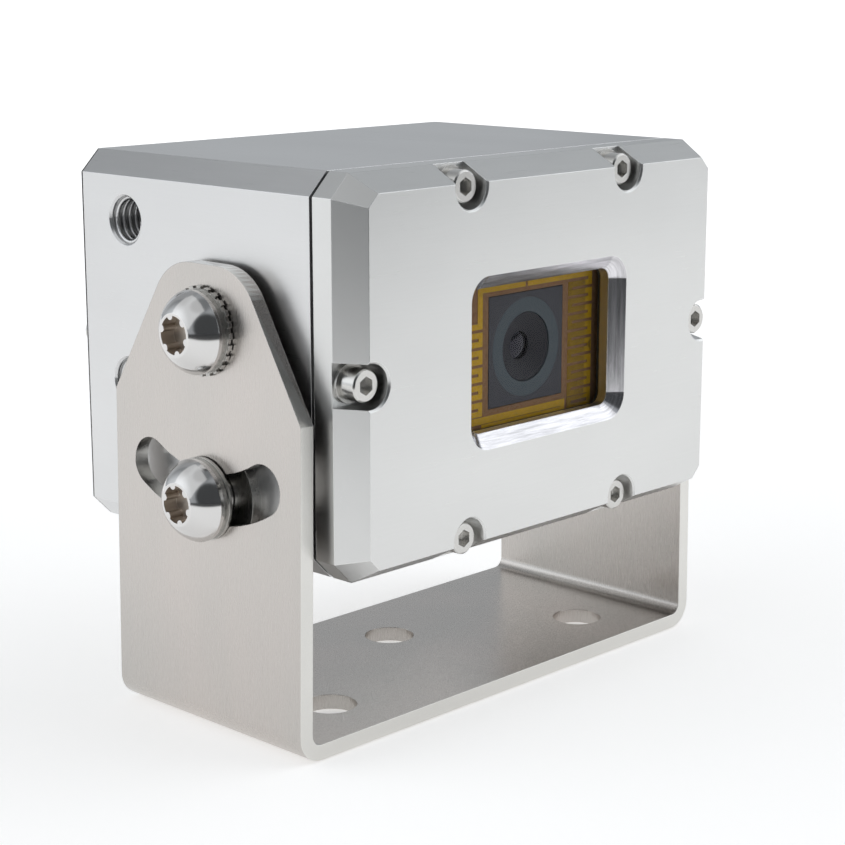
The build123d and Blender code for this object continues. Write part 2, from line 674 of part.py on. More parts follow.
def cable_header():
    """Plug header on the back of the main board, a box that is open to the rear."""
    back = MAIN_BOARD_Y + BOARD_T
    place = Pos(0, -HEADER_DROP)
    outline = centred(place * Rectangle(HEADER_WIDTH, HEADER_HEIGHT))
    room = centred(place * Rectangle(HEADER_WIDTH - BOARD_T, HEADER_HEIGHT - BOARD_T))
    header = slab(outline, back, back + HEADER_L)
    return header - slab(room, back + BOARD_T, back + HEADER_L)


# Cable gland, from the washer on the rear cover outwards

def gland_body():
    neck = GLAND_WASHER_T + REAR_COVER_T + GLAND_INSIDE_L
    body = Pos(0, 0, -neck) * rod(GLAND_THREAD_R, neck)
    body += hexagon(GLAND_HEX, GLAND_HEX_L)
    body += Pos(0, 0, GLAND_HEX_L) * rod(GLAND_BORE_R + GLAND_NECK_WALL, GLAND_NECK_L)
    total = neck + GLAND_HEX_L + GLAND_NECK_L
    body -= Pos(0, 0, -neck) * rod(GLAND_BORE_R, total)
    return to_rear(body, 0, BODY_MID_Z, REAR_Y + GLAND_WASHER_T)


def gland_washer():
    washer = ring(GLAND_WASHER_R, GLAND_THREAD_R + THREAD_GAP, GLAND_WASHER_T)
    return to_rear(washer, 0, BODY_MID_Z, REAR_Y)


def gland_lock_nut():
    nut = hexagon(LOCK_NUT_HEX, LOCK_NUT_L) - rod(GLAND_THREAD_R + THREAD_GAP, LOCK_NUT_L)
    return to_front(nut, 0, BODY_MID_Z, REAR_COVER_FRONT)


def gland_nut():
    """Clamping nut: a hexagon with a turned nose and a round mouth for the cable."""
    nose = Cone(GLAND_NOSE_R, GLAND_NOSE_TIP_R, GLAND_NOSE_L)
    nose = fillet(nose.edges().group_by(Axis.Z)[-1], GLAND_NOSE_TIP_R - GLAND_NUT_MOUTH_R - RIM_BREAK)
    nut = hexagon(GLAND_NUT_HEX, GLAND_NUT_HEX_L)
    nut += Pos(0, 0, GLAND_NUT_HEX_L + GLAND_NOSE_L / 2) * nose
    total = GLAND_NUT_HEX_L + GLAND_NOSE_L
    nut -= rod(GLAND_BORE_R + GLAND_NECK_WALL + THREAD_GAP, total - GLAND_NUT_LIP)
    nut -= rod(GLAND_NUT_MOUTH_R, total)
    return to_rear(nut, 0, BODY_MID_Z, REAR_Y + GLAND_WASHER_T + GLAND_HEX_L)


def gland_insert():
    """Rubber insert that grips the cable inside the clamping nut."""
    length = GLAND_NUT_HEX_L + GLAND_NOSE_L - GLAND_NUT_LIP - GLAND_NECK_L
    insert = ring(GLAND_BORE_R + GLAND_NECK_WALL, CABLE_R, length)
    insert += Pos(0, 0, -GLAND_NECK_L / 2) * ring(GLAND_BORE_R, CABLE_R, GLAND_NECK_L / 2)
    y = REAR_Y + GLAND_WASHER_T + GLAND_HEX_L + GLAND_NECK_L
    return to_rear(insert, 0, BODY_MID_Z, y)


# Side bolts and washers, made on the right side and mirrored to the left

def button_bolt(shank_l):
    """Button head bolt with its head above its own plane and its shank below."""
    reach = BOLT_HEAD_H - BOLT_HEAD_LAND
    fall = BOLT_HEAD_FLAT_R ** 2 + BOLT_HEAD_H ** 2 - BOLT_HEAD_R ** 2 - BOLT_HEAD_LAND ** 2
    centre_z = fall / (2 * reach)
    dome = Sphere(hypot(BOLT_HEAD_R, BOLT_HEAD_LAND - centre_z))
    head = rod(BOLT_HEAD_R, BOLT_HEAD_H) & Pos(0, 0, centre_z) * dome
    socket = extrude(six_lobe(BOLT_SOCKET_R), amount=BOLT_SOCKET_DEPTH)
    head -= Pos(0, 0, BOLT_HEAD_H - BOLT_SOCKET_DEPTH) * socket
    return head + Pos(0, 0, -shank_l) * rod(M6_R, shank_l)


def spring_washer():
    """Split washer: the slanted split lets it press like a spring."""
    washer = ring(SPRING_WASHER_R, WASHER_BORE_R, SPRING_WASHER_T)
    split = Box(SPRING_WASHER_R, SPRING_WASHER_SPLIT, 3 * SPRING_WASHER_T)
    split = Rot(SPRING_WASHER_SLANT, 0, 0) * split
    return washer - Pos(SPRING_WASHER_R / 2 + WASHER_BORE_R / 2, 0, SPRING_WASHER_T / 2) * split


def toothed_washer():
    """Lock washer with teeth round its outside."""
    length = TOOTH_WASHER_R - TOOTH_WASHER_ROOT_R + PIVOT_CLEARANCE
    width = TOOTH_WASHER_R * sin(radians(180 / TOOTH_COUNT))
    tooth = Rectangle(length, width)
    middle_r = TOOTH_WASHER_R - length / 2
    teeth = PolarLocations(middle_r, TOOTH_COUNT) * tooth
    return extrude(Circle(TOOTH_WASHER_ROOT_R) + teeth - Circle(WASHER_BORE_R), amount=TOOTH_WASHER_T)


def side_hardware():
    """All pieces at one side, by name: a bolt stack at the pivot and one at the slot."""
    plain_washer = ring(PLAIN_WASHER_R, WASHER_BORE_R, PLAIN_WASHER_T)
    slot_z = PIVOT_Z - SIDE_HOLE_PITCH
    stacks = {
        "pivot": (PIVOT_Z, "toothed_washer", toothed_washer(), TOOTH_WASHER_R, TOOTH_WASHER_T),
        "slot": (slot_z, "plain_washer", plain_washer, PLAIN_WASHER_R, PLAIN_WASHER_T),
    }
    pieces = {}
    for place, (z, kind, washer, washer_r, washer_t) in stacks.items():
        seat_x = arm_outer_x(z - washer_r) + CLAMP_GAP
        spacer_t = arm_outer_x(z + SPACER_R) - SHEET - CLAMP_GAP - SIDE_X
        spacer = ring(SPACER_R, WASHER_BORE_R, spacer_t)
        head_x = seat_x + washer_t + SPRING_WASHER_T
        bolt = button_bolt(head_x - SIDE_X + BOLT_GRIP_IN_BODY)
        pieces[f"{place}_spacer"] = to_side(spacer, 0, z, SIDE_X)
        pieces[f"{place}_{kind}"] = to_side(washer, 0, z, seat_x)
        pieces[f"{place}_spring_washer"] = to_side(spring_washer(), 0, z, seat_x + washer_t)
        pieces[f"{place}_bolt"] = to_side(bolt, 0, z, head_x)
    return pieces


def all_nodes():
    """Every node of the camera by name. A list is a group of like solids."""
    nodes = {
        "mounting_bracket": mounting_bracket(),
        "housing": housing(),
        "front_cover": front_cover(),
        "rear_cover": rear_cover(),
        "front_gasket": cover_gasket(FRONT_COVER_BACK, HOUSING_FRONT, COVER_SCREW_MARGIN),
        "rear_gasket": cover_gasket(HOUSING_BACK, REAR_COVER_FRONT, REAR_SCREW_MARGIN),
        "front_cover_screws": front_cover_screws(),
        "front_screw_washers": front_screw_washers(),
        "rear_cover_screws": rear_cover_screws(),
        "window_seal": window_seal(),
        "window_glass": window_glass(),
        "heater_conductor": heater_conductor(),
        "heater_film": heater_film(),
        "window_retainer": window_retainer(),
        "retainer_screws": retainer_screws(),
        "lens_holder": lens_holder(),
        "lens_barrel": lens_barrel(),
        "front_lens": front_lens(),
        "rear_lens": rear_lens(),
        "infrared_filter": infrared_filter(),
        "image_sensor": image_sensor(),
        "sensor_board": board(SENSOR_BOARD_Y),
        "main_board": board(MAIN_BOARD_Y),
        "front_pillars": front_pillars(),
        "rear_pillars": rear_pillars(),
        "board_screws": board_screws(),
        "video_processor": video_processor(),
        "cable_header": cable_header(),
        "gland_body": gland_body(),
        "gland_washer": gland_washer(),
        "gland_lock_nut": gland_lock_nut(),
        "gland_nut": gland_nut(),
        "gland_insert": gland_insert(),
    }
    for name, piece in side_hardware().items():
        nodes[f"right_{name}"] = piece
        nodes[f"left_{name}"] = mirror(piece, about=Plane.YZ)
    return nodes


os.makedirs("parts", exist_ok=True)
for name, piece in all_nodes().items():
    shape = Compound(children=piece) if isinstance(piece, list) else piece
    export_step(shape, f"parts/{name}.step")
    print(name, round(shape.volume, 3))
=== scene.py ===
# %% [markdown]
# # Dressing a vehicle camera
# The object is a machined stainless steel block that hangs in a bent sheet bracket, with a bevelled
# window at the front. Its exact shapes come from the CAD model. This lesson gives them their finishes,
# adds the threads and thin shapes that are too fine for the solids, and lights the result. Every length
# in it is in metres.

# %% Load the CAD model
import math

import bpy
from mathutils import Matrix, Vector


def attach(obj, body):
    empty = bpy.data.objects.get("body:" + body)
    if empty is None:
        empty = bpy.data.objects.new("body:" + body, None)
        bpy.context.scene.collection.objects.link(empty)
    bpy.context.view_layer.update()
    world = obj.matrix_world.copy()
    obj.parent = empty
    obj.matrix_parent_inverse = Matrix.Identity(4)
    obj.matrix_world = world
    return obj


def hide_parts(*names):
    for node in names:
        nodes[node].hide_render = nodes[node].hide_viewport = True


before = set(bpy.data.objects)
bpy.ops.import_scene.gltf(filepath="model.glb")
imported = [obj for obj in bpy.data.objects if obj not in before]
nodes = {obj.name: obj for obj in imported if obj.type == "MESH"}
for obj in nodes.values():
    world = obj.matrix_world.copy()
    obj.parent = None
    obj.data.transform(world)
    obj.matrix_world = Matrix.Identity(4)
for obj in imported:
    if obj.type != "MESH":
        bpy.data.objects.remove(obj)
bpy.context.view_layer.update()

# %% [markdown]
# A product camera with a long lens keeps the edges of the block nearly parallel. The place, tilt, turn
# and focal length below were fitted to the corners of the block and the bracket, so that the picture
# has the view of the reference photograph.

# %% Camera
CAMERA_PLACE = (-0.196007, -0.188681, 0.09534)
CAMERA_TILT = math.radians(77.312)
CAMERA_TURN = math.radians(-46.177)
FOCAL_LENGTH_MM = 86.383
SENSOR_WIDTH_MM = 36.0
lens = bpy.data.cameras.new("view_camera")
lens.sensor_fit = "HORIZONTAL"
lens.sensor_width = SENSOR_WIDTH_MM
lens.lens = FOCAL_LENGTH_MM
lens.clip_start = 0.005
lens.clip_end = 100.0
view_camera = bpy.data.objects.new("view_camera", lens)
view_camera.location = CAMERA_PLACE
view_camera.rotation_euler = (CAMERA_TILT, 0.0, CAMERA_TURN)
bpy.context.scene.collection.objects.link(view_camera)
bpy.context.scene.camera = view_camera
bpy.context.scene.view_settings.view_transform = "Standard"
print("camera at", tuple(view_camera.location))

# %% [markdown]
# Every finish is a small tree of shader nodes. A few helpers save typing: they add a node, join sockets
# and make the sums, ranges, noises and colours that each tree needs. Where a helper takes a socket, it
# takes a plain number or colour as well.

# %% Helpers for shader nodes
MIX_FIRST = 6
MIX_SECOND = 7
MIX_RESULT = 2


def add(tree, kind, **settings):
    """Add a shader node. Settings name its properties, or its inputs by their labels."""
    node = tree.nodes.new(kind)
    for key, value in settings.items():
        label = key.replace("_", " ")
        if hasattr(node, key):
            setattr(node, key, value)
        else:
            node.inputs[label].default_value = value
    return node


def join(tree, source, target):
    """Link an output socket to an input socket, or set the input to a plain number or colour."""
    if isinstance(source, (int, float, tuple)):
        target.default_value = source
    else:
        tree.links.new(source, target)


def work_out(tree, operation, *values):
    """Result of a Math node on two or three values."""
    node = add(tree, "ShaderNodeMath", operation=operation)
    for value, socket in zip(values, node.inputs):
        join(tree, value, socket)
    return node.outputs["Value"]


def ramp(tree, value, start, full, low, high, shape="LINEAR"):
    """Turn a value that runs from start to full into one that runs from low to high."""
    node = add(
        tree, "ShaderNodeMapRange", interpolation_type=shape,
        From_Min=start, From_Max=full, To_Min=low, To_Max=high,
    )
    join(tree, value, node.inputs["Value"])
    return node.outputs["Result"]


def noise(tree, place, cells, detail, roughness):
    """Soft noise with so many cells in a metre."""
    node = add(tree, "ShaderNodeTexNoise", Scale=cells, Detail=detail, Roughness=roughness)
    join(tree, place, node.inputs["Vector"])
    return node.outputs["Fac"]


def scaled(tree, color, amount):
    """A colour made brighter or darker by an amount."""
    node = add(tree, "ShaderNodeVectorMath", operation="SCALE")
    join(tree, color, node.inputs[0])
    join(tree, amount, node.inputs["Scale"])
    return node.outputs["Vector"]


def mixed(tree, share, first, second):
    """Blend of two colours. A colour Mix shares its labels with other kinds, so sockets go by number."""
    node = add(tree, "ShaderNodeMix", data_type="RGBA")
    join(tree, share, node.inputs[0])
    for number, color in ((MIX_FIRST, first), (MIX_SECOND, second)):
        if isinstance(color, tuple):
            color = (*color, 1.0)
        join(tree, color, node.inputs[number])
    return node.outputs[MIX_RESULT]


def raise_surface(tree, shader, height, strength, distance, normal=None):
    """Lift the surface by a noise, as bump on top of a normal where one is given."""
    node = add(tree, "ShaderNodeBump", Strength=strength, Distance=distance)
    join(tree, height, node.inputs["Height"])
    if normal is not None:
        join(tree, normal, node.inputs["Normal"])
    join(tree, node.outputs["Normal"], shader.inputs["Normal"])


# %% [markdown]
# A finish starts as a material whose main shader has one colour, and a CAD node gets it by name.


# %% Start a finish and paint nodes with it
def new_finish(name, color, roughness, metallic=0.0):
    """Make a material whose main shader has one colour, and return it with its tree and shader."""
    finish = bpy.data.materials.new(name)
    finish.use_nodes = True
    tree = finish.node_tree
    shader = tree.nodes["Principled BSDF"]
    shader.inputs["Base Color"].default_value = (*color, 1.0)
    shader.inputs["Roughness"].default_value = roughness
    shader.inputs["Metallic"].default_value = metallic
    return finish, tree, shader


def paint(finish, *names):
    """Give a finish to CAD nodes by name."""
    for name in names:
        mesh = nodes[name].data
        if not mesh.materials:
            mesh.materials.append(finish)
        for slot in range(len(mesh.materials)):
            mesh.materials[slot] = finish
    print(finish.name, "on", len(names), "nodes")


# %% [markdown]
# Brushed steel is a metal covered in fine parallel scratches. Noise that is stretched along one axis
# makes them: it changes the colour a little, the roughness more, and lifts the surface as bump. A
# second, larger noise stands for the soft stains and tool marks of real plate. The Bevel node finds
# the edges and rounds them; their colour gets a painted highlight and their gloss is made smoother.

# %% Brushed steel
SCRATCH_CELLS_ALONG = 120.0
CLOUD_CELLS_ALONG = 22.0
CLOUD_CELLS_ACROSS = 60.0
NOISE_MIDDLE = (0.3, 0.7)
GLOSS_MIDDLE = (0.25, 0.75)
GLOSS_SPREAD = (0.88, 1.15)
SCRATCH_DEPTH = 0.00002
CLOUD_TINT = 0.03
EDGE_R = 0.00012
# Painted highlight on the edges: their colour is made brighter and their gloss smoother.
HIGHLIGHT_STARTS = 0.995
HIGHLIGHT_FULL = 0.93
HIGHLIGHT_BRIGHTER = 0.16
HIGHLIGHT_SMOOTHER = 0.1


def stretched_noise(tree, along, cells_along, cells_across, detail, roughness):
    """Noise with so many cells in a metre along the given axes and so many across them."""
    place = add(tree, "ShaderNodeTexCoord")
    cells = [cells_along if axis in along else cells_across for axis in "XYZ"]
    stretch = add(tree, "ShaderNodeMapping", Scale=cells)
    join(tree, place.outputs["Object"], stretch.inputs["Vector"])
    return noise(tree, stretch.outputs["Vector"], 1.0, detail, roughness)


def highlighted_edges(tree):
    """Share of the painted edge highlight, 1 on an edge and 0 on a flat, and the normal that rounds the
    edge.
    """
    rounded = add(tree, "ShaderNodeBevel", samples=4, Radius=EDGE_R)
    flat = add(tree, "ShaderNodeNewGeometry")
    facing = add(tree, "ShaderNodeVectorMath", operation="DOT_PRODUCT")
    join(tree, rounded.outputs["Normal"], facing.inputs[0])
    join(tree, flat.outputs["Normal"], facing.inputs[1])
    edge_highlight = ramp(tree, facing.outputs["Value"], HIGHLIGHT_STARTS, HIGHLIGHT_FULL, 0.0, 1.0)
    return edge_highlight, rounded.outputs["Normal"]


def brushed_steel(
    name, color, roughness, along, stain=None, tint=0.015, scratches=0.03, scratch_width=0.00011
):
    """Brushed metal with its scratches along one or two axes of the object, such as X or XZ."""
    finish, tree, shader = new_finish(name, color, roughness, 1.0)
    grain = stretched_noise(
        tree, along, SCRATCH_CELLS_ALONG, 1.0 / scratch_width, detail=4.0, roughness=0.7
    )
    cloud = stretched_noise(
        tree, along, CLOUD_CELLS_ALONG, CLOUD_CELLS_ACROSS, detail=3.0, roughness=0.5
    )
    edge_highlight, edge_normal = highlighted_edges(tree)

    grain_tone = ramp(tree, grain, *NOISE_MIDDLE, 1.0 - tint, 1.0 + tint)
    cloud_tone = ramp(tree, cloud, *NOISE_MIDDLE, 1.0 - CLOUD_TINT, 1.0 + CLOUD_TINT)
    tone = work_out(tree, "MULTIPLY", grain_tone, cloud_tone)
    # Painted highlight: the edges are made brighter in the base colour.
    brightness = work_out(tree, "MULTIPLY_ADD", edge_highlight, HIGHLIGHT_BRIGHTER, tone)
    stained = mixed(tree, cloud, color, stain or color)
    join(tree, scaled(tree, stained, brightness), shader.inputs["Base Color"])

    glossy, dull = [roughness * part for part in GLOSS_SPREAD]
    gloss = ramp(tree, grain, *GLOSS_MIDDLE, glossy, dull)
    edge_gloss = work_out(tree, "MULTIPLY_ADD", edge_highlight, -HIGHLIGHT_SMOOTHER, gloss)
    join(tree, edge_gloss, shader.inputs["Roughness"])
    raise_surface(tree, shader, grain, scratches, SCRATCH_DEPTH, edge_normal)
    return finish


# %% [markdown]
# The block is milled from solid bar and brushed lengthwise on its sides. The covers are brushed
# across. The bracket is sheet, a little darker and warmer, with brown stains. It is brushed along the
# arms, and its base, which lies across the scratches, shows only their fine grain.

# %% Steel of the block and the bracket
block_steel = brushed_steel("block_steel", (0.70, 0.70, 0.70), 0.30, "Y")
cover_steel = brushed_steel("cover_steel", (0.71, 0.71, 0.70), 0.30, "X")
bracket_steel = brushed_steel(
    "bracket_steel", (0.55, 0.545, 0.52), 0.27, "Z", stain=(0.6, 0.545, 0.515)
)
paint(block_steel, "housing")
paint(cover_steel, "front_cover", "rear_cover")
paint(bracket_steel, "mounting_bracket")

# %% [markdown]
# The bevel round the window is cut last, with a sharp tool, and is left bright, with the tool's marks
# all round it. Its faces belong to the front cover, so they are found by their place and their slant
# and get a second material slot.

# %% Bright cut bevel
WINDOW_Z = 0.0472
BEVEL_REACH_X = 0.0156
BEVEL_REACH_Z = 0.0111
BEVEL_INNER_Y = -0.0215
BEVEL_STEEPEST = -0.3
BEVEL_FLATTEST = -0.9


def on_bevel(face):
    """Whether a face of the front cover belongs to the bevel round the window."""
    in_width = abs(face.center.x) < BEVEL_REACH_X
    in_height = abs(face.center.z - WINDOW_Z) < BEVEL_REACH_Z
    slants = BEVEL_FLATTEST < face.normal.y < BEVEL_STEEPEST
    return in_width and in_height and slants and face.center.y < BEVEL_INNER_Y


bevel_steel = brushed_steel(
    "bevel_steel", (0.68, 0.67, 0.69), 0.15, "XZ", tint=0.3, scratches=0.6, scratch_width=0.0004
)
cover_mesh = nodes["front_cover"].data
cover_mesh.materials.append(bevel_steel)
bevel_faces = [face for face in cover_mesh.polygons if on_bevel(face)]
for face in bevel_faces:
    face.material_index = len(cover_mesh.materials) - 1
print("bevel faces:", len(bevel_faces))

# %% [markdown]
# The edges of the sheet and the walls of its slots get a brighter steel than its faces. They all
# face square to the X direction, in the arms or at the sheet's ends.

# %% Bright cut edges of the bracket
ARM_INSIDE_X = 0.0368
SHEET_END_Y = 0.0174
EDGE_LEAN = 0.05
edge_steel = brushed_steel("edge_steel", (0.72, 0.71, 0.68), 0.24, "X")
bracket_mesh = nodes["mounting_bracket"].data
bracket_mesh.materials.append(edge_steel)
edge_faces = 0
for face in bracket_mesh.polygons:
    in_arm = abs(face.center.x) > ARM_INSIDE_X
    at_end = abs(face.center.y) > SHEET_END_Y
    if abs(face.normal.x) < EDGE_LEAN and (in_arm or at_end):
        face.material_index = len(bracket_mesh.materials) - 1
        edge_faces += 1
print("edge faces:", edge_faces)

# %% [markdown]
# The bolts are polished, so they reflect the studio sharply. Washers and small screws are duller.

# %% Steel of the fasteners
bolt_steel = brushed_steel("bolt_steel", (0.68, 0.67, 0.66), 0.12, "X", tint=0.02, scratches=0.05)
washer_steel = brushed_steel("washer_steel", (0.5, 0.49, 0.47), 0.28, "Z")
screw_steel = brushed_steel("screw_steel", (0.62, 0.61, 0.59), 0.22, "Y")
gland_steel = brushed_steel("gland_steel", (0.64, 0.64, 0.63), 0.22, "Z")
sides = ("right", "left")
bolts = [f"{side}_{place}_bolt" for side in sides for place in ("pivot", "slot")]
washer_kinds = (
    "pivot_spacer", "pivot_toothed_washer", "pivot_spring_washer",
    "slot_spacer", "slot_plain_washer", "slot_spring_washer",
)
washers = [f"{side}_{kind}" for side in sides for kind in washer_kinds]
paint(bolt_steel, *bolts)
paint(washer_steel, "front_screw_washers", *washers)
paint(screw_steel, "front_cover_screws", "rear_cover_screws", "retainer_screws", "board_screws")
paint(gland_steel, "gland_body", "gland_lock_nut", "gland_nut")

# %% [markdown]
# The sockets of the bolts get a duller steel, a little darker and browner than the heads. Their faces
# lie close to the bolt's line and deeper than the flat ring round the socket.

# %% Dull sockets
SOCKET_R = 0.00245
SOCKET_DEPTH = 0.002
RIM_MARGIN = 0.0001
socket_steel = brushed_steel("socket_steel", (0.6, 0.54, 0.48), 0.42, "X")
for bolt in bolts:
    bolt_mesh = nodes[bolt].data
    points = [v.co for v in bolt_mesh.vertices]
    line_y = (min(p.y for p in points) + max(p.y for p in points)) / 2
    line_z = (min(p.z for p in points) + max(p.z for p in points)) / 2
    head_x = max(abs(p.x) for p in points)
    bolt_mesh.materials.append(socket_steel)
    socket_faces = 0
    for face in bolt_mesh.polygons:
        from_line = math.hypot(face.center.y - line_y, face.center.z - line_z)
        depth = head_x - abs(face.center.x)
        if from_line < SOCKET_R and RIM_MARGIN < depth < SOCKET_DEPTH + RIM_MARGIN:
            face.material_index = len(bolt_mesh.materials) - 1
            socket_faces += 1
    print(bolt, "socket faces:", socket_faces)

# %% [markdown]
# Rubber, plastic and circuit board are not metals. They share one helper: a plain colour, broken up
# by fine noise in its tone, its gloss and its height. The same helper with a metallic share makes the
# brass pillars and the black frame that holds the window.

# %% Rubber, plastic and board
GRAIN_GLOSS_SPREAD = (0.85, 1.15)
GRAIN_BUMP = 0.3
GRAIN_HEIGHT = 0.3


def grainy(name, color, roughness, size, tone=0.15, metallic=0.0, coat=0.0, shine=0.5):
    """Plain material with fine grain of the given size in metres."""
    finish, tree, shader = new_finish(name, color, roughness, metallic)
    place = add(tree, "ShaderNodeTexCoord")
    grain = noise(tree, place.outputs["Object"], 1.0 / size, detail=4.0, roughness=0.6)
    level = ramp(tree, grain, *NOISE_MIDDLE, 1.0 - tone, 1.0 + tone)
    join(tree, scaled(tree, color, level), shader.inputs["Base Color"])
    glossy, dull = [roughness * part for part in GRAIN_GLOSS_SPREAD]
    gloss = ramp(tree, grain, *NOISE_MIDDLE, glossy, dull)
    join(tree, gloss, shader.inputs["Roughness"])
    raise_surface(tree, shader, grain, GRAIN_BUMP, size * GRAIN_HEIGHT)
    shader.inputs["Coat Weight"].default_value = coat
    shader.inputs["Specular IOR Level"].default_value = shine
    return finish


gasket_rubber = grainy("gasket_rubber", (0.03, 0.03, 0.03), 0.6, 0.0002)
seal_rubber = grainy("seal_rubber", (0.016, 0.016, 0.016), 0.5, 0.0002)
holder_plastic = grainy("holder_plastic", (0.075, 0.07, 0.085), 0.6, 0.0003, tone=0.3, shine=0.15)
barrel_metal = grainy("barrel_metal", (0.08, 0.095, 0.115), 0.45, 0.0002, shine=0.2)
film_brown = grainy("film_brown", (0.28, 0.14, 0.065), 0.5, 0.0006, tone=0.2, shine=0.15)
conductor_gold = grainy("conductor_gold", (0.62, 0.35, 0.012), 0.45, 0.0005, tone=0.12, shine=0.2)
black_aluminium = grainy("black_aluminium", (0.03, 0.03, 0.03), 0.4, 0.0002, metallic=0.5)
board_green = grainy("board_green", (0.01, 0.09, 0.03), 0.35, 0.0004, coat=0.5)
pillar_brass = grainy("pillar_brass", (0.6, 0.45, 0.2), 0.3, 0.0002, metallic=1.0)
chip_black = grainy("chip_black", (0.02, 0.02, 0.02), 0.5, 0.0002)
header_plastic = grainy("header_plastic", (0.7, 0.66, 0.55), 0.45, 0.0003)
paint(gasket_rubber, "front_gasket", "rear_gasket")
paint(seal_rubber, "window_seal", "gland_washer", "gland_insert")
paint(holder_plastic, "lens_holder")
paint(barrel_metal, "lens_barrel")
paint(film_brown, "heater_film")
paint(conductor_gold, "heater_conductor")
paint(black_aluminium, "window_retainer")
paint(board_green, "sensor_board", "main_board")
paint(pillar_brass, "front_pillars", "rear_pillars")
paint(chip_black, "image_sensor", "video_processor")
paint(header_plastic, "cable_header")

# %% [markdown]
# Glass shows what is behind it and reflects more at a slant. A Fresnel mix of see-through and glossy
# shaders does both, and lets the light through to the lens, which a refracting shader would shade. Only
# the outside of the pane reflects. The low index stands for the coating that keeps reflections down.

# %% Glass
GLASS_INDEX = 1.15
GLASS_ROUGHNESS = 0.02
SMEAR_SPREAD = (0.5, 2.0)
SMEAR_CELLS = 260.0


def clear_glass(name, tint):
    """Clear glass: see-through straight on, a mirror at a slant, with faint smears in its gloss."""
    finish, tree, shader = new_finish(name, tint, GLASS_ROUGHNESS)
    tree.nodes.remove(shader)
    place = add(tree, "ShaderNodeTexCoord")
    smear = noise(tree, place.outputs["Object"], SMEAR_CELLS, detail=3.0, roughness=0.5)
    clean, smeared = [GLASS_ROUGHNESS * part for part in SMEAR_SPREAD]
    gloss = ramp(tree, smear, 0.0, 1.0, clean, smeared)
    through = add(tree, "ShaderNodeBsdfTransparent", Color=(*tint, 1.0))
    mirror = add(tree, "ShaderNodeBsdfGlossy", Color=(1.0, 1.0, 1.0, 1.0))
    join(tree, gloss, mirror.inputs["Roughness"])
    slant = add(tree, "ShaderNodeFresnel", IOR=GLASS_INDEX)
    side = add(tree, "ShaderNodeNewGeometry")
    outside = work_out(tree, "SUBTRACT", 1.0, side.outputs["Backfacing"])
    share = work_out(tree, "MULTIPLY", slant.outputs["Fac"], outside)
    mix = add(tree, "ShaderNodeMixShader")
    join(tree, share, mix.inputs["Fac"])
    join(tree, through.outputs["BSDF"], mix.inputs[1])
    join(tree, mirror.outputs["BSDF"], mix.inputs[2])
    join(tree, mix.outputs["Shader"], tree.nodes["Material Output"].inputs["Surface"])
    return finish


paint(clear_glass("window_glass", (0.97, 0.98, 0.97)), "window_glass")
paint(clear_glass("filter_glass", (0.5, 0.8, 0.85)), "infrared_filter")
paint(clear_glass("rear_lens_glass", (0.9, 0.9, 0.93)), "rear_lens")

# %% [markdown]
# The front lens stands before a dark barrel, so nothing shows through it, and its coating turns what it
# reflects a little violet. A nearly black shader with a sharp gloss and a tinted shine is enough.

# %% Front lens
lens_glass, tree, shader = new_finish("lens_glass", (0.006, 0.005, 0.008), 0.04)
shader.inputs["IOR"].default_value = 1.35
shader.inputs["Specular Tint"].default_value = (0.75, 0.7, 1.0, 1.0)
paint(lens_glass, "front_lens")

# %% [markdown]
# The open holes at the side are tapped. Their thread is one ridge that winds down the wall of the hole.
# A triangle is turned about the hole's line by the Screw modifier, which moves it on by one pitch with
# each turn. Its ends are closed, and its faces are then made to point outwards.

# %% Thread in the side holes
THREAD_PITCH = 0.001
THREAD_TURNS = 7
STEPS_A_TURN = 32
TRIANGLE_R = 0.00036
TRIANGLE_STRETCH = 1.44
RIDGE_R = 0.00286
bpy.ops.object.select_all(action="DESELECT")
bpy.ops.mesh.primitive_circle_add(vertices=3, radius=TRIANGLE_R, fill_type="NOTHING")
ridge = bpy.context.active_object
ridge.name = "side_thread"
bpy.ops.object.mode_set(mode="EDIT")
bpy.ops.mesh.select_all(action="SELECT")
bpy.ops.transform.resize(value=(TRIANGLE_STRETCH, 1.0, 1.0))
bpy.ops.transform.translate(value=(0.0, -RIDGE_R, 0.0))
bpy.ops.object.mode_set(mode="OBJECT")
wind = ridge.modifiers.new("wind", "SCREW")
wind.axis = "X"
wind.screw_offset = THREAD_PITCH
wind.iterations = THREAD_TURNS
wind.steps = STEPS_A_TURN
wind.render_steps = STEPS_A_TURN
bpy.ops.object.modifier_apply(modifier="wind")
bpy.ops.object.mode_set(mode="EDIT")
bpy.ops.mesh.select_all(action="SELECT")
bpy.ops.mesh.fill_holes(sides=3)
bpy.ops.mesh.normals_make_consistent(inside=False)
bpy.ops.object.mode_set(mode="OBJECT")
ridge.data.materials.append(block_steel)
print("ridge:", len(ridge.data.polygons), "faces")

# %% [markdown]
# Each side of the block has two open holes with the same thread, so the ridge is made once and copied,
# each copy with its own mesh. The meshes are moved to their holes in edit mode, so that every object
# stays at the origin.

# %% Copies of the thread
RIDGE_STARTS_X = (-0.0345, 0.0275)
HOLE_Y = 0.0188
HOLE_HEIGHTS = (0.0635, 0.0424)


def pick(piece):
    """Select one piece only and make it the active one."""
    bpy.ops.object.select_all(action="DESELECT")
    piece.select_set(True)
    bpy.context.view_layer.objects.active = piece


